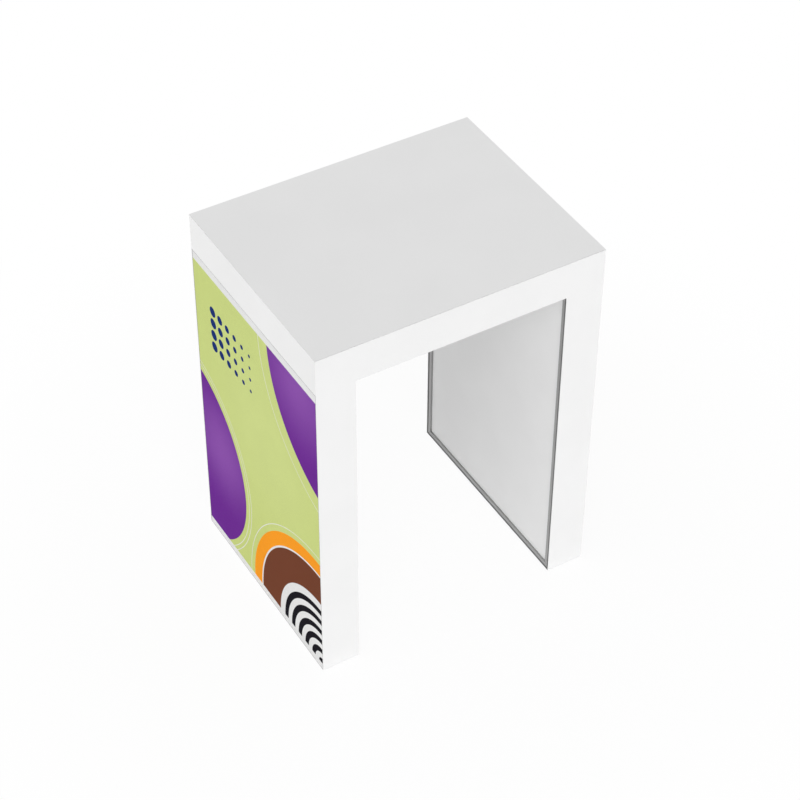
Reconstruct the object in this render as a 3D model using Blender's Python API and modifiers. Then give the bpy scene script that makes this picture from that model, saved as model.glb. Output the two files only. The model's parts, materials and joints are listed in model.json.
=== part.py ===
"""Exhibition counter: a white portal whose two legs are fabric-faced aluminium frames.

Metres, +Z up. The origin is on the floor under the middle of the counter, +X is the
viewer's right and the front faces -Y.
"""
from math import cos, pi, radians, sin, sqrt, tan

import bmesh
import bpy
from mathutils import Matrix, Vector

# Overall sizes
counter_width = 0.750
counter_depth = 0.590
counter_height = 1.000
leg_width = 0.100
top_height = 0.100

# Clearances
joint_gap = 0.0003
floor_gap = 0.002
mitre_setback = joint_gap * sqrt(2)
cut_overrun = 0.002

# Sheet that faces the portal's front and back
fascia_thickness = 0.001

# Boards of the top box
board_thickness = 0.018
underside_thickness = 0.015
rib_count = 2

# Extruded frame profile: x runs across the leg, u from the outer face inwards
lip_thickness = 0.0014
slot_width = 0.0035
slot_depth = 0.014
flange_width = 0.010
flange_setback = 0.0008
profile_wall = 0.0016
ledge_length = 0.008
ledge_thickness = 0.0015
panel_recess = 0.005
channel_width = 0.036
channel_height = 0.004
channel_lip = 0.003
channel_lip_thickness = 0.0015
profile_fillet = 0.0003
fillet_steps = 2

# Liner panel, printed fabric and its sewn-on edging
liner_thickness = 0.003
fabric_thickness = 0.0004
edging_thickness = 0.0029
edging_depth = 0.013

# Corner brackets that slide in the channel
bracket_arm = 0.060
plate_thickness = 0.0034
plate_length = 0.050
bracket_fillet = 0.0008
grub_hole_radius = 0.0025
grub_hole_inset = 0.012
grub_hole_spacing = 0.028
grub_holes_per_arm = 2

# Thumbscrews that hold the legs under the top, and their inserts
thumbscrew_inset = 0.105
screw_radius = 0.004
screw_clearance = 0.0005
screw_end_gap = 0.001
knob_radius = 0.013
knob_height = 0.012
knob_flutes = 12
knob_flute_depth = 0.0012
points_per_flute = 4
insert_length = 0.013
insert_radius = 0.0065
insert_flange_radius = 0.009
insert_flange_thickness = 0.0015

# Levelling feet
foot_inset = 0.090
stud_length = 0.040
stud_radius = 0.004
stud_chamfer = 0.0006
drive_radius = 0.0033
drive_height = 0.006
pad_radius = 0.015
pad_chamfer = 0.0008
pad_floor = 0.0015
foot_hole_clearance = 0.001

# Facets
round_steps = 32
small_round_steps = 20
hexagon_sides = 6
merge_distance = 0.00001
sharp_angle = radians(30)

# Derived places
half_width = counter_width / 2
half_depth = counter_depth / 2
opening_height = counter_height - top_height
frame_y = half_depth - fascia_thickness - joint_gap
frame_bottom = floor_gap
frame_top = opening_height - joint_gap
frame_middle = (frame_bottom + frame_top) / 2
slot_end = lip_thickness + slot_width
flange_end = slot_end + flange_width
head_depth = slot_depth + profile_wall
ledge_face = flange_setback + panel_recess + liner_thickness + joint_gap
channel_top = profile_wall + channel_height
channel_lip_top = channel_top + channel_lip_thickness
plate_width = channel_width - 2 * joint_gap
plate_near = profile_wall + joint_gap
plate_far = plate_near + plate_thickness
insert_bore_radius = screw_radius + joint_gap
stud_bore_radius = stud_radius + joint_gap
quarter_turn = pi / 2

SIDES = {"left": -1, "right": 1}
ENDS = {"front": -1, "rear": 1}
CORNERS = ((-1, -1), (1, -1), (1, 1), (-1, 1))

# Turns what is extruded along Z so that it is extruded along X, its own X along Y
ACROSS = Matrix(((0, 0, 1), (1, 0, 0), (0, 1, 0)))


def clear_scene():
    for item in list(bpy.data.objects):
        bpy.data.objects.remove(item, do_unlink=True)


def new_collection(name):
    collection = bpy.data.collections.new(name)
    bpy.context.scene.collection.children.link(collection)
    return collection


def new_material(name, colour, roughness, metallic):
    material = bpy.data.materials.new(name)
    material.use_nodes = True
    shader = material.node_tree.nodes["Principled BSDF"]
    shader.inputs["Base Color"].default_value = (*colour, 1)
    shader.inputs["Roughness"].default_value = roughness
    shader.inputs["Metallic"].default_value = metallic
    material.diffuse_color = (*colour, 1)
    return material


clear_scene()
counter = new_collection("exhibition_counter")
cutters = new_collection("cutters")

WHITE_SHEET = new_material("white_sheet", (0.86, 0.86, 0.86), 0.35, 0)
WHITE_LAMINATE = new_material("white_laminate", (0.80, 0.80, 0.80), 0.4, 0)
CORE_BOARD = new_material("core_board", (0.62, 0.50, 0.36), 0.7, 0)
ANODISED = new_material("anodised_aluminium", (0.50, 0.51, 0.52), 0.35, 1)
LINER = new_material("white_liner", (0.80, 0.80, 0.80), 0.5, 0)
PRINT = new_material("printed_fabric", (0.59, 0.67, 0.23), 0.8, 0)
SILICONE = new_material("clear_silicone", (0.70, 0.70, 0.68), 0.5, 0)
ZINC = new_material("zinc_plated_steel", (0.60, 0.60, 0.58), 0.35, 1)
BLACK_PLASTIC = new_material("black_plastic", (0.03, 0.03, 0.03), 0.5, 0)


def stand(location, rotation=Matrix.Identity(3)):
    """The matrix of an object turned by rotation and then set down at a location."""
    return Matrix.Translation(location) @ rotation.to_4x4()


def place(item, name, material, matrix=None):
    """Name, dress and file an object, and set it in its place if a matrix gives one."""
    item.name = name
    item.data.name = name
    item.data.materials.clear()
    item.data.materials.append(material)
    if matrix is not None:
        item.matrix_world = matrix
    for collection in list(item.users_collection):
        collection.objects.unlink(item)
    counter.objects.link(item)
    return item


def as_cutter(item, name):
    """File an object with the cutters, where it shows as a wire only."""
    item.name = name
    item.hide_render = True
    item.display_type = "WIRE"
    for collection in list(item.users_collection):
        collection.objects.unlink(item)
    cutters.objects.link(item)
    return item


def combine(item, other, operation):
    modifier = item.modifiers.new(other.name, "BOOLEAN")
    modifier.operation = operation
    modifier.solver = "EXACT"
    modifier.object = other


def block(corner, opposite):
    """A box between two opposite corners, with its origin at its centre."""
    corner, opposite = Vector(corner), Vector(opposite)
    bpy.ops.mesh.primitive_cube_add(size=1, location=(corner + opposite) / 2)
    item = bpy.context.object
    item.data.transform(Matrix.Diagonal([abs(side) for side in opposite - corner]).to_4x4())
    return item


def rectangle(half_x, half_y):
    """The outline of a rectangle round the origin."""
    return [(half_x * x, half_y * y) for x, y in CORNERS]


def new_item(name, mesh):
    """An object of a mesh, linked to the scene."""
    item = bpy.data.objects.new(name, mesh)
    bpy.context.scene.collection.objects.link(item)
    return item


def cylinder(radius, low, high, steps=round_steps):
    """An upright cylinder between the centres of its two ends."""
    low, high = Vector(low), Vector(high)
    bpy.ops.mesh.primitive_cylinder_add(
        vertices=steps, radius=radius, depth=(high - low).length, location=(low + high) / 2)
    return bpy.context.object


def turned(profile, location, steps=round_steps, closed=False):
    """A body of revolution; profile points are (radius, height), down the outer side."""
    mesh = bpy.data.meshes.new("profile")
    edges = [(i, i + 1) for i in range(len(profile) - 1)]
    if closed:
        edges.append((len(profile) - 1, 0))
    mesh.from_pydata([(r, 0, z) for r, z in profile], edges, [])
    item = new_item("turned", mesh)
    item.location = location
    screw = item.modifiers.new("turn", "SCREW")
    screw.steps = steps
    screw.render_steps = steps
    screw.use_merge_vertices = True
    screw.merge_threshold = merge_distance
    return item


def rounded(points, radius, corners=None):
    """Ease the corners of a closed outline, within their sides; corners lists which, or all are."""
    result = []
    count = len(points)
    for i, point in enumerate(points):
        corner = Vector(point)
        if corners and i not in corners:
            result.append(corner)
            continue
        before = Vector(points[i - 1]) - corner
        after = Vector(points[(i + 1) % count]) - corner
        half_angle = before.angle(after) / 2
        reach = min(radius / tan(half_angle), before.length / 2, after.length / 2)
        start = corner + before.normalized() * reach
        end = corner + after.normalized() * reach
        for step in range(fillet_steps + 1):
            share = step / fillet_steps
            result.append(start.lerp(corner, share).lerp(corner.lerp(end, share), share))
    return result


def extruded(outlines, thickness):
    """A closed mesh with the outlines in its XY plane, half its thickness each way."""
    curve = bpy.data.curves.new("outline", "CURVE")
    curve.dimensions = "2D"
    curve.fill_mode = "BOTH"
    curve.extrude = thickness / 2
    for points in outlines:
        spline = curve.splines.new("POLY")
        spline.points.add(len(points) - 1)
        spline.use_cyclic_u = True
        for target, point in zip(spline.points, points):
            target.co = (point[0], point[1], 0, 1)
    outline = new_item("outline", curve)
    evaluated = outline.evaluated_get(bpy.context.evaluated_depsgraph_get())
    mesh = bpy.data.meshes.new_from_object(evaluated)
    bpy.data.objects.remove(outline, do_unlink=True)
    shape = bmesh.new()
    shape.from_mesh(mesh)
    bmesh.ops.remove_doubles(shape, verts=shape.verts, dist=merge_distance)
    bmesh.ops.recalc_face_normals(shape, faces=shape.faces)
    shape.to_mesh(mesh)
    shape.free()
    return new_item("extruded", mesh)


def frozen(item):
    """The mesh of an object with its modifiers applied; the object is removed."""
    bpy.context.view_layer.update()
    depsgraph = bpy.context.evaluated_depsgraph_get()
    mesh = bpy.data.meshes.new_from_object(item.evaluated_get(depsgraph))
    bpy.data.objects.remove(item, do_unlink=True)
    return mesh


def half_profile():
    """One head of the extrusion, from the outer face round to the channel's floor."""
    channel_side = (leg_width - channel_width) / 2
    ledge_back = ledge_face + ledge_thickness
    ledge_end = flange_end + ledge_length
    return [
        (0, 0), (0, lip_thickness), (slot_depth, lip_thickness), (slot_depth, slot_end),
        (flange_setback, slot_end), (flange_setback, flange_end), (ledge_face, flange_end),
        (ledge_face, ledge_end), (ledge_back, ledge_end), (ledge_back, flange_end),
        (head_depth, flange_end), (head_depth, profile_wall),
        (channel_side - profile_wall, profile_wall), (channel_side - profile_wall, channel_lip_top),
        (channel_side + channel_lip, channel_lip_top), (channel_side + channel_lip, channel_top),
        (channel_side, channel_top), (channel_side, profile_wall),
    ]


def profile_outlines():
    """The double-sided extrusion: its outer outline and the chamber in each head."""
    near_half = half_profile()
    far_half = [(leg_width - x, u) for x, u in reversed(near_half)]
    chamber_x = (flange_setback + profile_wall, slot_depth)
    chamber_u = (slot_end + profile_wall, flange_end - profile_wall)
    near_chamber = [(chamber_x[0], chamber_u[0]), (chamber_x[1], chamber_u[0]),
                    (chamber_x[1], chamber_u[1]), (chamber_x[0], chamber_u[1])]
    far_chamber = [(leg_width - x, u) for x, u in near_chamber]
    outlines = (near_half + far_half, near_chamber, far_chamber)
    return [rounded(points, profile_fillet) for points in outlines]


def mitred_member(length):
    """A length of the extrusion, cut at 45 degrees at both ends."""
    item = extruded(profile_outlines(), length)
    for vertex in item.data.vertices:
        reach = length / 2 - vertex.co.y - mitre_setback / 2
        vertex.co.z = reach if vertex.co.z > 0 else -reach
    return item


def frame_members(side, x_low):
    """The four mitred lengths of one leg's frame, by name."""
    height = frame_top - frame_bottom
    depth = 2 * frame_y
    members = {
        "front_upright": (height, (x_low, -frame_y, frame_middle), Matrix.Identity(3)),
        "rear_upright": (height, (x_low + leg_width, frame_y, frame_middle), Matrix.Rotation(pi, 3, "Z")),
        "bottom_rail": (depth, (x_low, 0, frame_bottom), Matrix.Rotation(quarter_turn, 3, "X")),
        "top_rail": (depth, (x_low, 0, frame_top), Matrix.Rotation(-quarter_turn, 3, "X")),
    }
    return {name: place(mitred_member(length), f"{side}_leg_{name}", ANODISED, stand(location, rotation))
            for name, (length, location, rotation) in members.items()}


def bracket_mesh():
    """An L of plate for one corner of the channel, with two grub screw holes in each arm."""
    near, far = plate_near, plate_far
    outline = [(near, near), (bracket_arm, near), (bracket_arm, far),
               (far, far), (far, bracket_arm), (near, bracket_arm)]
    inner_corner = outline.index((far, far))
    item = extruded([rounded(outline, bracket_fillet, [inner_corner])], plate_width)
    middle = (near + far) / 2
    reach = Vector((0, 0, plate_thickness))
    drills = []
    for hole in range(grub_holes_per_arm):
        along = bracket_arm - grub_hole_inset - hole * grub_hole_spacing
        for axis, centre in (("X", (along, middle, 0)), ("Y", (middle, along, 0))):
            drill = cylinder(grub_hole_radius, -reach, reach, small_round_steps)
            drill.matrix_world = stand(centre, Matrix.Rotation(quarter_turn, 3, axis))
            combine(item, as_cutter(drill, f"grub_drill_{axis}_{hole}"), "DIFFERENCE")
            drills.append(drill)
    mesh = frozen(item)
    for drill in drills:
        bpy.data.objects.remove(drill, do_unlink=True)
    return mesh


def corner_brackets(side, x_middle, mesh):
    """One bracket in each corner of a leg's frame."""
    corners = [("front_bottom", -frame_y, frame_bottom), ("rear_bottom", frame_y, frame_bottom),
               ("rear_top", frame_y, frame_top), ("front_top", -frame_y, frame_top)]
    for turns, (corner, y, z) in enumerate(corners):
        rotation = Matrix.Rotation(turns * quarter_turn, 3, "X") @ ACROSS
        place(new_item("bracket", mesh.copy()), f"{side}_leg_{corner}_bracket", ZINC,
              stand((x_middle, y, z), rotation))


def liner_panel(side, sign):
    """The white sheet let into the leg's inner side, against the frame's ledge."""
    front = sign * (half_width - leg_width + flange_setback + panel_recess)
    back = front + sign * liner_thickness
    edge = flange_end + joint_gap
    y = frame_y - edge
    panel = block((front, -y, frame_bottom + edge), (back, y, frame_top - edge))
    place(panel, f"{side}_leg_liner_panel", LINER)


def graphic(side, sign):
    """The stretched fabric on the leg's outer side, and the silicone strip sewn round it."""
    edge = lip_thickness + joint_gap
    y = frame_y - edge
    low = frame_bottom + edge
    high = frame_top - edge
    outer = sign * half_width
    inner = outer - sign * fabric_thickness
    place(block((outer, -y, low), (inner, y, high)), f"{side}_leg_graphic", PRINT)
    half_high = (high - low) / 2
    ring = [rectangle(y, half_high), rectangle(y - edging_thickness, half_high - edging_thickness)]
    middle = inner - sign * (joint_gap + edging_depth / 2)
    place(extruded(ring, edging_depth), f"{side}_leg_graphic_edging", SILICONE,
          stand((middle, 0, (low + high) / 2), ACROSS))


def thumbscrew_mesh():
    """A fluted knob with its screw, standing on the plane where it clamps."""
    count = knob_flutes * points_per_flute
    outline = []
    for i in range(count):
        angle = 2 * pi * i / count
        radius = knob_radius - knob_flute_depth * (1 - cos(knob_flutes * angle)) / 2
        outline.append((radius * cos(angle), radius * sin(angle)))
    knob = extruded([outline], knob_height)
    knob.data.transform(Matrix.Translation((0, 0, -knob_height / 2)))
    top = plate_far + 2 * joint_gap + insert_length - screw_end_gap
    shank = cylinder(screw_radius, (0, 0, -knob_height / 2), (0, 0, top), small_round_steps)
    combine(knob, as_cutter(shank, "thumbscrew_shank"), "UNION")
    mesh = frozen(knob)
    bpy.data.objects.remove(shank, do_unlink=True)
    return mesh


def channel_plate(name, location, hole_radius):
    """A plate that slides in the channel, drilled in its middle."""
    centre = Vector(location)
    half = Vector((plate_width, plate_length, plate_thickness)) / 2
    item = place(block(centre - half, centre + half), name, ZINC)
    reach = Vector((0, 0, plate_thickness))
    drill = cylinder(hole_radius, centre - reach, centre + reach, small_round_steps)
    combine(item, as_cutter(drill, f"{name}_drill"), "DIFFERENCE")


def insert_profile(clearance, bore):
    """Outer side of a flanged insert, from its top end down to its flange."""
    body = insert_radius + clearance
    flange = insert_flange_radius + clearance
    shoulder = insert_flange_thickness + clearance
    top = insert_length + clearance
    if bore:
        return [(bore, top), (body, top), (body, shoulder), (flange, shoulder), (flange, 0), (bore, 0)]
    return [(0, top), (body, top), (body, shoulder), (flange, shoulder), (flange, -cut_overrun),
            (0, -cut_overrun)]


def leg_fixing(name, x, y, top_rail, underside, screw_mesh):
    """A thumbscrew up through the leg's top rail into an insert in the underside board."""
    plate_middle = frame_top - (plate_near + plate_far) / 2
    hole_radius = screw_radius + screw_clearance
    channel_plate(f"{name}_clamp_plate", (x, y, plate_middle), hole_radius)
    drill = cylinder(hole_radius, (x, y, frame_top - profile_wall - cut_overrun / 2),
                     (x, y, frame_top + cut_overrun), small_round_steps)
    combine(top_rail, as_cutter(drill, f"{name}_screw_drill"), "DIFFERENCE")
    place(new_item("thumbscrew", screw_mesh.copy()), f"{name}_thumbscrew", ZINC,
          stand((x, y, frame_top - plate_far - joint_gap)))
    seat = (x, y, opening_height)
    insert = turned(insert_profile(0, insert_bore_radius), seat, small_round_steps, closed=True)
    place(insert, f"{name}_insert", ZINC)
    bore = turned(insert_profile(joint_gap, 0), seat, small_round_steps)
    combine(underside, as_cutter(bore, f"{name}_insert_bore"), "DIFFERENCE")


def pad_profile():
    """The foot's pad, round a blind hole for its stud."""
    top = frame_bottom + plate_near - joint_gap
    seat = stud_radius + joint_gap
    rim = pad_radius - pad_chamfer
    return [(0, pad_floor), (seat, pad_floor), (seat, top), (rim, top), (pad_radius, top - pad_chamfer),
            (pad_radius, pad_chamfer), (rim, 0), (0, 0)]


def stud_profile(low, high):
    """The foot's stud, chamfered at both ends."""
    thin = stud_radius - stud_chamfer
    return [(0, high), (thin, high), (stud_radius, high - stud_chamfer), (stud_radius, low + stud_chamfer),
            (thin, low), (0, low)]


def levelling_foot(name, x, y, bottom_rail):
    """A pad and its threaded stud, which screws down out of a plate in the bottom rail."""
    spot = (x, y, 0)
    place(turned(pad_profile(), spot), f"{name}_foot_pad", BLACK_PLASTIC)
    low = pad_floor + joint_gap
    high = low + stud_length
    stud = place(turned(stud_profile(low, high), spot, small_round_steps), f"{name}_foot_stud", ZINC)
    drive = cylinder(drive_radius, (x, y, high - drive_height), (x, y, high + drive_height), hexagon_sides)
    combine(stud, as_cutter(drive, f"{name}_foot_drive"), "UNION")
    plate_middle = frame_bottom + (plate_near + plate_far) / 2
    channel_plate(f"{name}_foot_plate", (x, y, plate_middle), stud_bore_radius)
    drill = cylinder(pad_radius + foot_hole_clearance, (x, y, frame_bottom - cut_overrun),
                     (x, y, frame_bottom + profile_wall + cut_overrun / 2))
    combine(bottom_rail, as_cutter(drill, f"{name}_foot_drill"), "DIFFERENCE")


def worktop():
    """The top board: mitred to the end boards, its top skin reaching out over the fascias."""
    skin = fascia_thickness + joint_gap
    levels = [
        (half_width - board_thickness, frame_y, counter_height - board_thickness),
        (half_width - skin, frame_y, counter_height - skin),
        (half_width, half_depth, counter_height),
    ]
    shape = bmesh.new()
    rings = [[shape.verts.new((x, y, z)) for x, y in rectangle(half_x, half_y)]
             for half_x, half_y, z in levels]
    for below, above in zip(rings, rings[1:]):
        for i in range(len(CORNERS)):
            shape.faces.new((below[i - 1], below[i], above[i], above[i - 1]))
    shape.faces.new(reversed(rings[0]))
    shape.faces.new(rings[-1])
    mesh = bpy.data.meshes.new("worktop")
    shape.to_mesh(mesh)
    shape.free()
    place(new_item("worktop", mesh), "worktop", WHITE_LAMINATE)


def end_board(side, sign):
    """The board at one end of the top box, mitred along its top edge."""
    outer = sign * half_width
    inner = sign * (half_width - board_thickness)
    top = counter_height - mitre_setback
    outline = [(outer, opening_height), (outer, top),
               (inner, top - board_thickness), (inner, opening_height)]
    place(extruded([outline], 2 * frame_y), f"{side}_end_board", WHITE_LAMINATE,
          stand((0, 0, 0), Matrix.Rotation(quarter_turn, 3, "X")))


def fascia(end, sign):
    """The one-piece sheet over the front or back of both legs and the top box."""
    inner_x = half_width - leg_width
    top = counter_height - mitre_setback
    outline = [(-half_width, floor_gap), (-inner_x, floor_gap), (-inner_x, opening_height),
               (inner_x, opening_height), (inner_x, floor_gap), (half_width, floor_gap),
               (half_width, top), (-half_width, top)]
    item = extruded([outline], fascia_thickness)
    for vertex in item.data.vertices:
        inside = vertex.co.z * sign > 0
        if inside and vertex.co.y > opening_height + top_height / 2:
            vertex.co.y -= fascia_thickness
    place(item, f"{end}_fascia", WHITE_SHEET,
          stand((0, sign * (half_depth - fascia_thickness / 2), 0), Matrix.Rotation(quarter_turn, 3, "X")))


def top_box():
    """The boards under the worktop and between the end boards."""
    inner_x = half_width - board_thickness - joint_gap
    underside_top = opening_height + underside_thickness
    underside = block((-inner_x, -frame_y, opening_height), (inner_x, frame_y, underside_top))
    place(underside, "underside_board", WHITE_LAMINATE)
    low = underside_top + joint_gap
    high = counter_height - board_thickness - joint_gap
    for end, sign in ENDS.items():
        outer = sign * frame_y
        inner = sign * (frame_y - board_thickness)
        place(block((-inner_x, outer, low), (inner_x, inner, high)), f"{end}_rail", CORE_BOARD)
    rib_y = frame_y - board_thickness - joint_gap
    bay = 2 * inner_x / (rib_count + 1)
    for index in range(rib_count):
        near = -inner_x + bay * (index + 1) - board_thickness / 2
        far = near + board_thickness
        place(block((near, -rib_y, low), (far, rib_y, high)), f"rib_{index + 1}", CORE_BOARD)
    return underside


def leg(side, sign, underside, bracket, screw_mesh):
    """One leg: its frame, brackets, liner, fabric, feet and fixings."""
    x_middle = sign * (half_width - leg_width / 2)
    members = frame_members(side, x_middle - leg_width / 2)
    corner_brackets(side, x_middle, bracket)
    liner_panel(side, sign)
    graphic(side, sign)
    for end, end_sign in ENDS.items():
        name = f"{side}_leg_{end}"
        screw_y = end_sign * (half_depth - thumbscrew_inset)
        leg_fixing(name, x_middle, screw_y, members["top_rail"], underside, screw_mesh)
        foot_y = end_sign * (half_depth - foot_inset)
        levelling_foot(name, x_middle, foot_y, members["bottom_rail"])


def build_counter():
    worktop()
    underside = top_box()
    for side, sign in SIDES.items():
        end_board(side, sign)
    for end, sign in ENDS.items():
        fascia(end, sign)
    bracket = bracket_mesh()
    screw_mesh = thumbscrew_mesh()
    for side, sign in SIDES.items():
        leg(side, sign, underside, bracket, screw_mesh)
    for mesh in (bracket, screw_mesh):
        bpy.data.meshes.remove(mesh)


def shade_round_pieces():
    """Smooth shading on whatever is turned or drilled, broken at its sharp edges."""
    for item in counter.objects:
        item.data.shade_smooth()
        item.data.set_sharp_from_angle(angle=sharp_angle)


build_counter()
shade_round_pieces()
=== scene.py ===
"""Looks of the exhibition counter: finishes, stretched prints, levelling feet, studio and camera.

Metres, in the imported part's frame: +Z up, the front faces -Y. Colours are linear.
"""

import json
from math import cos, pi, radians, sin

import bmesh
import bpy
from mathutils import Matrix, Vector


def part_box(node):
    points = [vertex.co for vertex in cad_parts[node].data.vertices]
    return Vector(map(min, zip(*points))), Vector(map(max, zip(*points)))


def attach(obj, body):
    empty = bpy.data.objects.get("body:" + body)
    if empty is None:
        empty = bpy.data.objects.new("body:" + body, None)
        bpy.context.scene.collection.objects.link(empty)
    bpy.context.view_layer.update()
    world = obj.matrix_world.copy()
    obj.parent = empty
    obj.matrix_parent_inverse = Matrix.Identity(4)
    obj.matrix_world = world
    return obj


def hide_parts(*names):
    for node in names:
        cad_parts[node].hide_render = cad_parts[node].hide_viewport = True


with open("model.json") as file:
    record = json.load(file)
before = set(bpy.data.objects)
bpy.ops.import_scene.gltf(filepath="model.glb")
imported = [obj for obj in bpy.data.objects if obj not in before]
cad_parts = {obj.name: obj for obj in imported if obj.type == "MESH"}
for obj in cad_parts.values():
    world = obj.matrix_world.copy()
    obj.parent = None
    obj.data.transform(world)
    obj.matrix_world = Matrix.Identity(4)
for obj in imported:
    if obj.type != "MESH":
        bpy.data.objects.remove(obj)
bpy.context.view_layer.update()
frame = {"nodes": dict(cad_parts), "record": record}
nodes = frame["nodes"]

# The camera: the photograph's place and lens, fitted to the counter's corners
CAMERA_PLACE = (-2.083, -3.495, 4.222)
CAMERA_AIM = (0.000, -0.023, 0.500)
CAMERA_ROLL = radians(0.33)
PICTURE_SIZE = 800
FOCAL_PIXELS = 2282.9
SENSOR = 36
CLIP_END = 100

# Light: an even world, and two wide suns that favour the front and the left side
WORLD_LIGHT = 0.565
SUNS = {"front_sun": ((-1.6, -3, 2.3), 1.40), "left_sun": ((-3, -0.6, 0.9), 0.56)}
SUN_SPREAD = radians(50)
PURE_WHITE = (1, 1, 1, 1)

# The floor as the camera sees it: partly lit, and plain white further out
FLOOR_SIZE = 12
FLOOR_WHITE = 0.93
FLOOR_FADE = (0.5, 1.6)
FLOOR_SHADES = ((0.90, 0.90, 0.90), (0.92, 0.92, 0.92))

# Noise keeps to the middle of 0 to 1, so one of these parts of it is spread out
WIDE_NOISE = (0.3, 0.7)
NARROW_NOISE = (0.35, 0.65)

# White finishes
WHITE_SHEET = (0.88, 0.88, 0.88)
WHITE_LAMINATE = (0.855, 0.855, 0.855)
LINER_WHITE = (0.845, 0.845, 0.845)

# Anodised extrusions: the metal, the shades of its clouds, and its long draw lines
ANODISED = (0.36, 0.36, 0.36)
ANODISED_CLOUD = (0.94, 1.04)
LINE_SHADE = 0.86
LINE_SHARE = 0.35
LINE_STRETCH = 0.01

# Pairs of shades that the other finishes wander between
BOARD_SHADES = ((0.62, 0.47, 0.30), (0.42, 0.29, 0.17))
CHIP_SIZE = 0.003
ZINC_SHADES = ((0.52, 0.53, 0.52), (0.68, 0.68, 0.66))
SILICONE_SHADES = ((0.66, 0.66, 0.64), (0.74, 0.74, 0.72))
BLACK_SHADES = ((0.022, 0.022, 0.024), (0.035, 0.035, 0.036))

# Colours of the print
FABRIC_WHITE = (0.80, 0.80, 0.80)
LIME = (0.59, 0.67, 0.23)
PALE_LIME = (0.68, 0.76, 0.33)
PURPLE = (0.150, 0.023, 0.285)
LIGHT_PURPLE = (0.27, 0.09, 0.42)
ORANGE = (0.96, 0.34, 0.018)
NAVY = (0.008, 0.028, 0.16)
BROWN = (0.165, 0.050, 0.024)
INK = (0.004, 0.003, 0.007)

# Layout of the print, in millimetres: across from the viewer's left, and up from the floor
MM = 0.001
PRINT_LOW = 23.5
PRINT_HIGH = 876.5
EDGE = 0.35
CORNER = (584, PRINT_LOW)
CORNER_BANDS = ((344, ORANGE), (306, FABRIC_WHITE), (301, BROWN), (210, FABRIC_WHITE))
TARGET_RADIUS = 200
TARGET_PITCH = 34
TARGET_EDGE = 0.05
PURPLE_DISCS = (((-80, 250), 290, (90, 330)), ((690, 900), 330, (500, 860)))
LIT_REACH = 230
LIT_SHARE = 0.9
WHITE_ARCS = (((-80, 250), 306), ((-80, 250), 318), ((690, 900), 372), (CORNER, 362))
ARC_WIDTH = 1.8
GLOW_CENTRE = (330, 560)
GLOW_REACH = (40, 420)
GLOW_SHARE = 0.35
DOT_BLOCK = ((72, 648), (288, 792))
DOT_PITCH = 36
DOT_RADII = (15, 4)

# The print's knit: the pitch of its ribs across and up, in millimetres, and what they do
RIB_PITCH = (0.70, 0.55)
RIB_SHADE = (0.87, 1.10)
RIB_ROUGHNESS = (0.82, 0.74)
CLOUD_SHADE = 0.012

# The stretched cloth: how it turns into the groove beside its edging
TURN_RADIUS = 0.0008
TURN_STEPS = 5
FACE_DEPTH = 0.0001
LIP_GAP = 0.00015
CLOTH_THICKNESS = 0.00016
GRID_STEP = 0.012
TUCK_STEPS = 3
MERGE_DISTANCE = 0.000001

# Threaded studs of the levelling feet
THREAD_PITCH = 0.00125
THREAD_DEPTH = 0.00076
CREST_SHARE = 1 / 8
ROOT_SHARE = 1 / 4
RINGS_PER_PITCH = 6
THREAD_SIDES = 18
STUD_CHAMFER = 0.0006
DRIVE_HEIGHT = 0.006
DRIVE_RADIUS = 0.0033
DRIVE_SIDES = 6

# Moulded pads of the levelling feet
PAD_SIDES = 72
PAD_SEAT = 0.0043
PAD_FLOOR = 0.0015
PAD_ROUND = 0.0009
PAD_ROUND_STEPS = 5
PAD_COLLAR = 0.0065
PAD_DISH = 0.0006
PAD_GRIPS = (0.005, 0.008, 0.011)
GRIP_WIDTH = 0.0009
GRIP_DEPTH = 0.0004
SHARP_ANGLE = radians(28)


def tinted(colour, factor):
    return tuple(min(1, c * factor) for c in colour)


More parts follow.
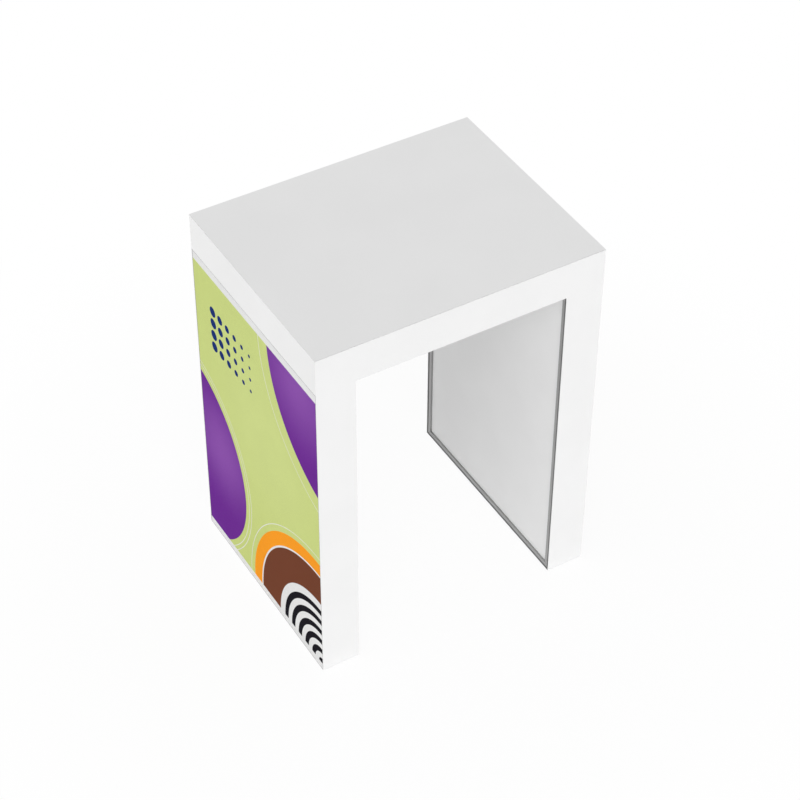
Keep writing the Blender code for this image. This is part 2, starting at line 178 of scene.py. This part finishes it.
class Graph:
    """A node tree, with short ways to add what the finishes and the studio need."""

    # Sockets of the Mix node that belong to its colours
    MIX_SHARE, MIX_A, MIX_B, MIX_RESULT = 0, 6, 7, 2

    def __init__(self, tree):
        self.tree = tree

    def node(self, kind, inputs=(), **settings):
        """A new node with these settings, and each input set to a value or fed by an output."""
        made = self.tree.nodes.new(kind)
        for key, value in settings.items():
            setattr(made, key, value)
        for key, value in dict(inputs).items():
            self.feed(made.inputs[key], value)
        return made

    def feed(self, socket, value):
        if isinstance(value, bpy.types.NodeSocket):
            self.tree.links.new(value, socket)
        else:
            socket.default_value = value

    def place(self, scale=(1, 1, 1)):
        """Object coordinates, multiplied by scale."""
        place = self.node("ShaderNodeTexCoord").outputs["Object"]
        return self.node("ShaderNodeMapping", {"Vector": place, "Scale": scale}).outputs[0]

    def noise(self, size, detail=2, stretch=(1, 1, 1)):
        """Noise whose patches are about size metres across, and longer where stretch is small."""
        place = self.place(tuple(s / size for s in stretch))
        made = self.node("ShaderNodeTexNoise", {"Vector": place, "Scale": 1, "Detail": detail})
        return made.outputs["Fac"]

    def math(self, operation, a, b=0):
        return self.node("ShaderNodeMath", {0: a, 1: b}, operation=operation).outputs[0]

    def length(self, vector):
        return self.node("ShaderNodeVectorMath", {0: vector}, operation="LENGTH").outputs["Value"]

    def span(self, value, low, high, start=0, end=1, smooth=False):
        """Carry value over from the range low to high to the range start to end."""
        ends = {"Value": value, "From Min": low, "From Max": high, "To Min": start, "To Max": end}
        kind = "SMOOTHSTEP" if smooth else "LINEAR"
        return self.node("ShaderNodeMapRange", ends, interpolation_type=kind).outputs[0]

    def mix(self, share, a, b):
        """A colour between a and b, each a triple or an output."""
        made = self.node("ShaderNodeMix", {self.MIX_SHARE: share}, data_type="RGBA")
        for socket, value in ((self.MIX_A, a), (self.MIX_B, b)):
            plain = isinstance(value, tuple)
            self.feed(made.inputs[socket], (*value, 1) if plain else value)
        return made.outputs[self.MIX_RESULT]

    def mixed_shaders(self, share, a, b):
        return self.node("ShaderNodeMixShader", {0: share, 1: a, 2: b}).outputs[0]

    def seen(self):
        """1 for a ray that shows what it meets: from the camera, off gloss or through glass."""
        path = self.node("ShaderNodeLightPath").outputs
        direct = self.math("MAXIMUM", path["Is Camera Ray"], path["Is Glossy Ray"])
        return self.math("MAXIMUM", direct, path["Is Transmission Ray"])


class Finish(Graph):
    """A material, built round its Principled shader."""

    def __init__(self, name):
        self.material = bpy.data.materials.new(name)
        self.material.use_nodes = True
        super().__init__(self.material.node_tree)
        self.shader = self.tree.nodes["Principled BSDF"]

    def set(self, **values):
        """Set or feed the shader's inputs, named with _ for each space."""
        for key, value in values.items():
            self.feed(self.shader.inputs[key.replace("_", " ")], value)

    def bump(self, height, distance, strength=1):
        inputs = {"Height": height, "Distance": distance, "Strength": strength}
        self.feed(self.shader.inputs["Normal"], self.node("ShaderNodeBump", inputs).outputs[0])

    def clouded(self, colour, size, darker=0.985):
        """A colour that is slightly darker in soft patches about size metres across."""
        share = self.span(self.noise(size), *NARROW_NOISE)
        return self.mix(share, tinted(colour, darker), colour)

    def uneven(self, size, low, high):
        """A value that wanders from low to high in patches about size metres across."""
        return self.span(self.noise(size), *WIDE_NOISE, low, high)


def coated_sheet():
    """White powder coat: a faint orange peel and hardly any change of shade."""
    finish = Finish("white_powder_coat")
    finish.set(Base_Color=finish.clouded(WHITE_SHEET, size=0.12),
               Roughness=finish.uneven(size=0.05, low=0.52, high=0.60), Specular_IOR_Level=0.25)
    finish.bump(finish.noise(size=0.0018, detail=1), distance=0.0002)
    return finish.material


def laminate():
    """White laminate with its fine pearl texture."""
    finish = Finish("white_laminate")
    finish.set(Base_Color=finish.clouded(WHITE_LAMINATE, size=0.2),
               Roughness=finish.uneven(size=0.03, low=0.68, high=0.76), Specular_IOR_Level=0.06)
    finish.bump(finish.noise(size=0.0011), distance=0.00016)
    return finish.material


def foamed_sheet():
    """The liner: a white foamed sheet with a soft, slightly uneven skin."""
    finish = Finish("white_foamed_sheet")
    finish.set(Base_Color=finish.clouded(LINER_WHITE, size=0.15, darker=0.98),
               Roughness=finish.uneven(size=0.02, low=0.55, high=0.65), Specular_IOR_Level=0.2)
    finish.bump(finish.noise(size=0.0014, detail=3), distance=0.0002)
    return finish.material


def anodised(name, stretch):
    """Anodised extrusion, with the draw lines that run along it."""
    finish = Finish(name)
    lines = finish.noise(size=0.0009, detail=3, stretch=stretch)
    cloud = finish.span(finish.noise(size=0.09), *WIDE_NOISE)
    metal = finish.mix(cloud, *(tinted(ANODISED, factor) for factor in ANODISED_CLOUD))
    line_share = finish.span(lines, *NARROW_NOISE, 0, LINE_SHARE)
    finish.set(Base_Color=finish.mix(line_share, metal, tinted(ANODISED, LINE_SHADE)),
               Metallic=0.7, Roughness=finish.span(lines, *WIDE_NOISE, start=0.4, end=0.5))
    finish.bump(lines, distance=0.00001, strength=0.5)
    return finish.material


def particle_board():
    """Bare board inside the top box."""
    finish = Finish("particle_board")
    chips = finish.node("ShaderNodeTexVoronoi", {"Vector": finish.place(), "Scale": 1 / CHIP_SIZE})
    away = chips.outputs["Distance"]
    finish.set(Base_Color=finish.mix(away, *BOARD_SHADES), Roughness=0.85)
    finish.bump(away, distance=0.0002, strength=0.5)
    return finish.material


def zinc():
    """Bright zinc plate with a faint crystal mottle."""
    finish = Finish("zinc_plate")
    mottle = finish.noise(size=0.004, detail=3)
    finish.set(Base_Color=finish.mix(mottle, *ZINC_SHADES), Metallic=1,
               Roughness=finish.span(mottle, *WIDE_NOISE, start=0.25, end=0.4))
    finish.bump(finish.noise(size=0.0008), distance=0.00002, strength=0.4)
    return finish.material


def silicone():
    """The edging's clear silicone, slightly cloudy."""
    finish = Finish("silicone_edging")
    finish.set(Base_Color=finish.mix(finish.noise(size=0.01), *SILICONE_SHADES), Roughness=0.45)
    finish.bump(finish.noise(size=0.001), distance=0.00003, strength=0.4)
    return finish.material


def moulded_black():
    """Black moulded plastic with a fine grain."""
    finish = Finish("moulded_black")
    finish.set(Base_Color=finish.mix(finish.noise(size=0.005), *BLACK_SHADES), Roughness=0.5)
    finish.bump(finish.noise(size=0.0006), distance=0.00005, strength=0.5)
    return finish.material


class Print:
    """A leg's printed fabric, drawn by masks over its layout; sign is -1 on the left leg."""

    def __init__(self, name, sign):
        self.finish = finish = Finish(name)
        low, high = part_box("left_leg_graphic")
        middle = (high.y - low.y) / MM / 2
        place = finish.place((1 / MM, 1 / MM, 1 / MM))
        self.split = finish.node("ShaderNodeSeparateXYZ", {0: place}).outputs
        self.across = finish.math("ADD", finish.math("MULTIPLY", self.split["Y"], sign), middle)
        self.up = self.split["Z"]
        self.point = finish.node("ShaderNodeCombineXYZ", {0: self.across, 1: self.up}).outputs[0]

    def away(self, centre):
        """Distance from a point of the layout."""
        ends = {0: self.point, 1: (*centre, 0)}
        return self.finish.node("ShaderNodeVectorMath", ends, operation="DISTANCE").outputs["Value"]

    def under(self, value, limit):
        """1 where value is below limit, with a fine soft edge."""
        return self.finish.span(value, limit + EDGE, limit - EDGE)

    def over(self, value, limit):
        """1 where value is above limit, with a fine soft edge."""
        return self.finish.span(value, limit - EDGE, limit + EDGE)

    def both(self, a, b):
        return self.finish.math("MULTIPLY", a, b)

    def between(self, value, low, high):
        return self.both(self.over(value, low), self.under(value, high))

    def disc(self, centre, radius):
        return self.under(self.away(centre), radius)

    def ring(self, centre, radius, width):
        return self.between(self.away(centre), radius - width / 2, radius + width / 2)

    def cell(self, value, pitch):
        """Distance from the middle of the nearest cell of a row of cells."""
        finish = self.finish
        share = finish.math("FRACT", finish.math("DIVIDE", value, pitch))
        return finish.math("MULTIPLY", finish.math("SUBTRACT", share, 0.5), pitch)

    def dots(self, low, high, pitch, radii):
        """A block of round dots that shrink from left to right."""
        finish = self.finish
        offset = {0: self.cell(self.across, pitch), 1: self.cell(self.up, pitch)}
        away = finish.length(finish.node("ShaderNodeCombineXYZ", offset).outputs[0])
        past = finish.math("SUBTRACT", away, finish.span(self.across, low[0], high[0], *radii))
        block = self.both(self.between(self.across, low[0], high[0]),
                          self.between(self.up, low[1], high[1]))
        return self.both(self.under(past, 0), block)


def printed_fabric(name, sign):
    """Lime ground with purple discs, concentric corner bands, shrinking dots and fine arcs."""
    layout = Print(name, sign)
    finish = layout.finish
    glow = finish.span(layout.away(GLOW_CENTRE), *GLOW_REACH, GLOW_SHARE, 0, smooth=True)
    colour = finish.mix(glow, LIME, PALE_LIME)
    for centre, radius, lit in PURPLE_DISCS:
        light = finish.span(layout.away(lit), 0, LIT_REACH, LIT_SHARE, 0, smooth=True)
        shade = finish.mix(light, PURPLE, LIGHT_PURPLE)
        colour = finish.mix(layout.disc(centre, radius), colour, shade)
    for centre, radius in WHITE_ARCS:
        colour = finish.mix(layout.ring(centre, radius, ARC_WIDTH), colour, FABRIC_WHITE)
    for radius, band in CORNER_BANDS:
        colour = finish.mix(layout.disc(CORNER, radius), colour, band)
    turns = finish.math("MULTIPLY", layout.away(CORNER), 2 * pi / TARGET_PITCH)
    wave = finish.math("SINE", turns)
    rings = finish.mix(finish.span(wave, -TARGET_EDGE, TARGET_EDGE), FABRIC_WHITE, INK)
    colour = finish.mix(layout.disc(CORNER, TARGET_RADIUS), colour, rings)
    colour = finish.mix(layout.dots(*DOT_BLOCK, DOT_PITCH, DOT_RADII), colour, NAVY)
    colour = finish.mix(layout.between(layout.up, PRINT_LOW, PRINT_HIGH), FABRIC_WHITE, colour)

    # The knit: fine ribs both ways, and a slow change of shade
    ribs = [finish.math("SINE", finish.math("MULTIPLY", layout.split[axis], 2 * pi / pitch))
            for axis, pitch in zip("YZ", RIB_PITCH)]
    knit = finish.math("MULTIPLY", finish.math("ADD", *ribs), 0.5)
    cloud = finish.uneven(size=0.08, low=-CLOUD_SHADE, high=CLOUD_SHADE)
    shade = finish.math("ADD", finish.span(knit, -1, 1, *RIB_SHADE), cloud)
    tone = finish.node("ShaderNodeHueSaturation", {"Value": shade, "Color": colour})
    finish.set(Base_Color=tone.outputs[0], Roughness=finish.span(knit, -1, 1, *RIB_ROUGHNESS),
               Specular_IOR_Level=0.04)
    finish.bump(knit, distance=0.00012, strength=0.6)
    return finish.material


def dress_nodes():
    """Give every CAD node but the prints its finish, and return the finishes by their slots.

    The extrusions have two finishes of their own, because draw lines run along each of them.
    """
    upright = anodised("anodised_upright", (1, 1, LINE_STRETCH))
    rail = anodised("anodised_rail", (1, LINE_STRETCH, 1))
    finishes = {
        "white_laminate": laminate(), "core_board": particle_board(), "white_sheet": coated_sheet(),
        "zinc_plated_steel": zinc(), "white_liner": foamed_sheet(), "clear_silicone": silicone(),
        "black_plastic": moulded_black(),
    }
    for part in frame["record"]["subparts"]:
        item = nodes[part["node"]]
        slot = part["material_slot"]
        if slot == "printed_fabric":
            continue
        finish = finishes.get(slot) or (upright if item.name.endswith("upright") else rail)
        item.data.materials.clear()
        item.data.materials.append(finish)
    return finishes


def mesh_of(shape, name):
    """Turn a bmesh into a mesh and free it."""
    mesh = bpy.data.meshes.new(name)
    shape.to_mesh(mesh)
    shape.free()
    return mesh


def set_out(name, data):
    """A new object in the scene, at the origin."""
    item = bpy.data.objects.new(name, data)
    bpy.context.scene.collection.objects.link(item)
    return item


def stations(lip_side, tuck):
    """The cloth's stations along one direction: (place, angle of the turn, depth of the tuck)."""
    centre = lip_side - TURN_RADIUS
    count = round(2 * centre / GRID_STEP)
    flat = [(-centre + 2 * centre * i / count, 0, 0) for i in range(count + 1)]
    turn = [step / TURN_STEPS * pi / 2 for step in range(1, TURN_STEPS + 1)]
    after = [(centre + TURN_RADIUS * sin(t), t, 0) for t in turn]
    after += [(lip_side, pi / 2, tuck * i / TUCK_STEPS) for i in range(1, TUCK_STEPS + 1)]
    before = [(-p, t, d) for p, t, d in reversed(after)]
    return before + flat + after


def cloth_shape(across, up, face, sign, middle):
    """The cloth over a grid of stations, with its corners cut out where both edges tuck in."""
    shape = bmesh.new()
    grid = []
    for y, turn_y, tuck_y in across:
        line = []
        for z, turn_z, tuck_z in up:
            depth = FACE_DEPTH + TURN_RADIUS * (1 - cos(turn_y) * cos(turn_z)) + tuck_y + tuck_z
            line.append(shape.verts.new((face - sign * depth, middle.y + y, middle.z + z)))
        grid.append(line)
    for i in range(len(across) - 1):
        for j in range(len(up) - 1):
            tucked_y = across[i][2] or across[i + 1][2]
            tucked_z = up[j][2] or up[j + 1][2]
            if tucked_y and tucked_z:
                continue
            corners = [grid[i][j], grid[i + 1][j], grid[i + 1][j + 1], grid[i][j + 1]]
            shape.faces.new(corners if sign > 0 else corners[::-1])
    loose = [v for v in shape.verts if not v.link_faces]
    bmesh.ops.delete(shape, geom=loose, context="VERTS")
    bmesh.ops.remove_doubles(shape, verts=shape.verts, dist=MERGE_DISTANCE)
    return shape


def stretched_fabric(side, sign):
    """The print's cloth: flat over the frame, turned over the edging and tucked down beside it."""
    low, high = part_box(f"{side}_leg_graphic")
    edging_low, edging_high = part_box(f"{side}_leg_graphic_edging")
    face = sign * max(abs(low.x), abs(high.x))
    tuck = (edging_high.x - edging_low.x) - TURN_RADIUS
    half_y = (high.y - low.y) / 2 + LIP_GAP
    half_z = (high.z - low.z) / 2 + LIP_GAP
    shape = cloth_shape(stations(half_y, tuck), stations(half_z, tuck), face, sign, (low + high) / 2)
    mesh = mesh_of(shape, f"{side}_leg_print")
    mesh.shade_smooth()
    mesh.materials.append(printed_fabric(f"{side}_print", sign))
    cloth = set_out(f"{side}_leg_print", mesh)
    solid = cloth.modifiers.new("thickness", "SOLIDIFY")
    solid.thickness = CLOTH_THICKNESS
    solid.offset = 0
    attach(cloth, "counter")
    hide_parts(f"{side}_leg_graphic")


def fitted(shape, name, node, finish, sharp=pi):
    """Turn a foot's shape into the piece that stands for its CAD node."""
    mesh = mesh_of(shape, name)
    mesh.shade_smooth()
    mesh.set_sharp_from_angle(angle=sharp)
    mesh.materials.append(finish)
    item = set_out(name, mesh)
    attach(item, node.replace("_leg", "").rsplit("_", 1)[0])
    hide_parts(node)


def ring_of(shape, centre, height, radii):
    """A ring of vertices at one height, one for each radius."""
    turn = 2 * pi / len(radii)
    return [shape.verts.new((centre.x + r * cos(i * turn), centre.y + r * sin(i * turn), height))
            for i, r in enumerate(radii)]


def joined(shape, rings):
    """Faces between neighbouring rings, and a cap at each end."""
    for below, above in zip(rings, rings[1:]):
        for i in range(len(below)):
            j = (i + 1) % len(below)
            shape.faces.new((below[i], below[j], above[j], above[i]))
    shape.faces.new(rings[0][::-1])
    shape.faces.new(rings[-1])


def thread_cut(phase):
    """How deep the thread is at a share of its pitch: a flat crest, even flanks and a flat root."""
    flank = (1 - CREST_SHARE - ROOT_SHARE) / 2
    share = (abs(phase - 0.5) - CREST_SHARE / 2) / flank
    return THREAD_DEPTH * min(1, max(0, share))


def threaded_stud(name, finish):
    """The stud with its cut thread, and the hexagon at its top that turns it."""
    low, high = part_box(name)
    centre = (low + high) / 2
    major = (high.x - low.x) / 2
    top = high.z - DRIVE_HEIGHT
    shape = bmesh.new()
    rings = []
    count = round((top - low.z) / THREAD_PITCH * RINGS_PER_PITCH)
    for i in range(count + 1):
        height = low.z + (top - low.z) * i / count
        from_end = min(height - low.z, top - height)
        limit = major - max(0, STUD_CHAMFER - from_end)
        radii = []
        for k in range(THREAD_SIDES):
            phase = (height / THREAD_PITCH - k / THREAD_SIDES) % 1
            radii.append(min(limit, major - thread_cut(phase)))
        rings.append(ring_of(shape, centre, height, radii))
    joined(shape, rings)

    # The hexagon starts one pitch down inside the thread
    drive = [DRIVE_RADIUS] * DRIVE_SIDES
    joined(shape, [ring_of(shape, centre, z, drive) for z in (top - THREAD_PITCH, high.z)])
    fitted(shape, f"{name}_thread", name, finish)


def moulded_pad(name, finish):
    """The pad, with rounded rims, a dished top round its collar and grip grooves underneath."""
    low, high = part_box(name)
    centre = (low + high) / 2
    edge = (high.x - low.x) / 2
    half = GRIP_WIDTH / 2
    line = [(GRIP_WIDTH, low.z)]
    for grip in PAD_GRIPS:
        line += [(grip - half, low.z), (grip - half / 2, low.z + GRIP_DEPTH),
                 (grip + half / 2, low.z + GRIP_DEPTH), (grip + half, low.z)]
    bends = [step / PAD_ROUND_STEPS * pi / 2 for step in range(PAD_ROUND_STEPS + 1)]
    rim = edge - PAD_ROUND
    line += [(rim + PAD_ROUND * sin(t), low.z + PAD_ROUND * (1 - cos(t))) for t in bends]
    line += [(rim + PAD_ROUND * cos(t), high.z - PAD_ROUND * (1 - sin(t))) for t in bends]
    line += [(rim - PAD_ROUND, high.z - PAD_DISH), (PAD_COLLAR, high.z - PAD_DISH),
             (PAD_COLLAR - PAD_DISH, high.z), (PAD_SEAT, high.z), (PAD_SEAT, low.z + PAD_FLOOR)]
    shape = bmesh.new()
    joined(shape, [ring_of(shape, centre, height, [radius] * PAD_SIDES) for radius, height in line])
    fitted(shape, f"{name}_moulded", name, finish, SHARP_ANGLE)


def studio():
    """Soft light from all round, two wide suns and a white background."""
    world = bpy.data.worlds.new("studio")
    bpy.context.scene.world = world
    world.use_nodes = True
    world.node_tree.nodes.clear()
    graph = Graph(world.node_tree)
    lit, white = (graph.node("ShaderNodeBackground", {"Color": PURE_WHITE, "Strength": strength})
                  for strength in (WORLD_LIGHT, 1))
    sky = graph.mixed_shaders(graph.seen(), lit.outputs[0], white.outputs[0])
    graph.node("ShaderNodeOutputWorld", {"Surface": sky})

    for name, (place, strength) in SUNS.items():
        light = bpy.data.lights.new(name, "SUN")
        light.energy = strength
        light.angle = SUN_SPREAD
        lamp = set_out(name, light)
        lamp.rotation_euler = Vector(place).to_track_quat("Z", "Y").to_euler()


def floor():
    """A pale floor that keeps the counter's shadow and turns plain white further out."""
    finish = Finish("pale_floor")
    finish.set(Base_Color=finish.mix(finish.noise(size=0.6), *FLOOR_SHADES), Roughness=0.9,
               Specular_IOR_Level=0.1)
    white = finish.node("ShaderNodeEmission", {"Color": PURE_WHITE, "Strength": 1}).outputs[0]
    away = finish.length(finish.place())
    white_share = finish.span(away, *FLOOR_FADE, FLOOR_WHITE, 1, smooth=True)
    share = finish.math("MULTIPLY", finish.seen(), white_share)
    above = finish.mixed_shaders(share, finish.shader.outputs[0], white)

    # Seen from below, the floor lets the counter's underside show
    back = finish.node("ShaderNodeNewGeometry").outputs["Backfacing"]
    clear = finish.node("ShaderNodeBsdfTransparent").outputs[0]
    sides = finish.mixed_shaders(back, above, clear)
    finish.feed(finish.tree.nodes["Material Output"].inputs["Surface"], sides)

    shape = bmesh.new()
    bmesh.ops.create_grid(shape, x_segments=1, y_segments=1, size=FLOOR_SIZE)
    mesh = mesh_of(shape, "floor")
    mesh.materials.append(finish.material)
    item = set_out("floor", mesh)


def camera():
    """The photograph's camera."""
    data = bpy.data.cameras.new("camera")
    data.sensor_width = SENSOR
    data.lens = FOCAL_PIXELS / PICTURE_SIZE * SENSOR
    data.clip_end = CLIP_END
    item = set_out("camera", data)
    aim = (Vector(CAMERA_AIM) - Vector(CAMERA_PLACE)).to_track_quat("-Z", "Y").to_matrix()
    turn = aim @ Matrix.Rotation(CAMERA_ROLL, 3, "Z")
    item.matrix_world = Matrix.Translation(CAMERA_PLACE) @ turn.to_4x4()
    bpy.context.scene.camera = item


camera()
finishes = dress_nodes()
for side in ("left", "right"):
    for end in ("front", "rear"):
        threaded_stud(f"{side}_leg_{end}_foot_stud", finishes["zinc_plated_steel"])
        moulded_pad(f"{side}_leg_{end}_foot_pad", finishes["black_plastic"])
for side, sign in (("left", -1), ("right", 1)):
    stretched_fabric(side, sign)
studio()
floor()
bpy.context.scene.view_settings.view_transform = "Standard"
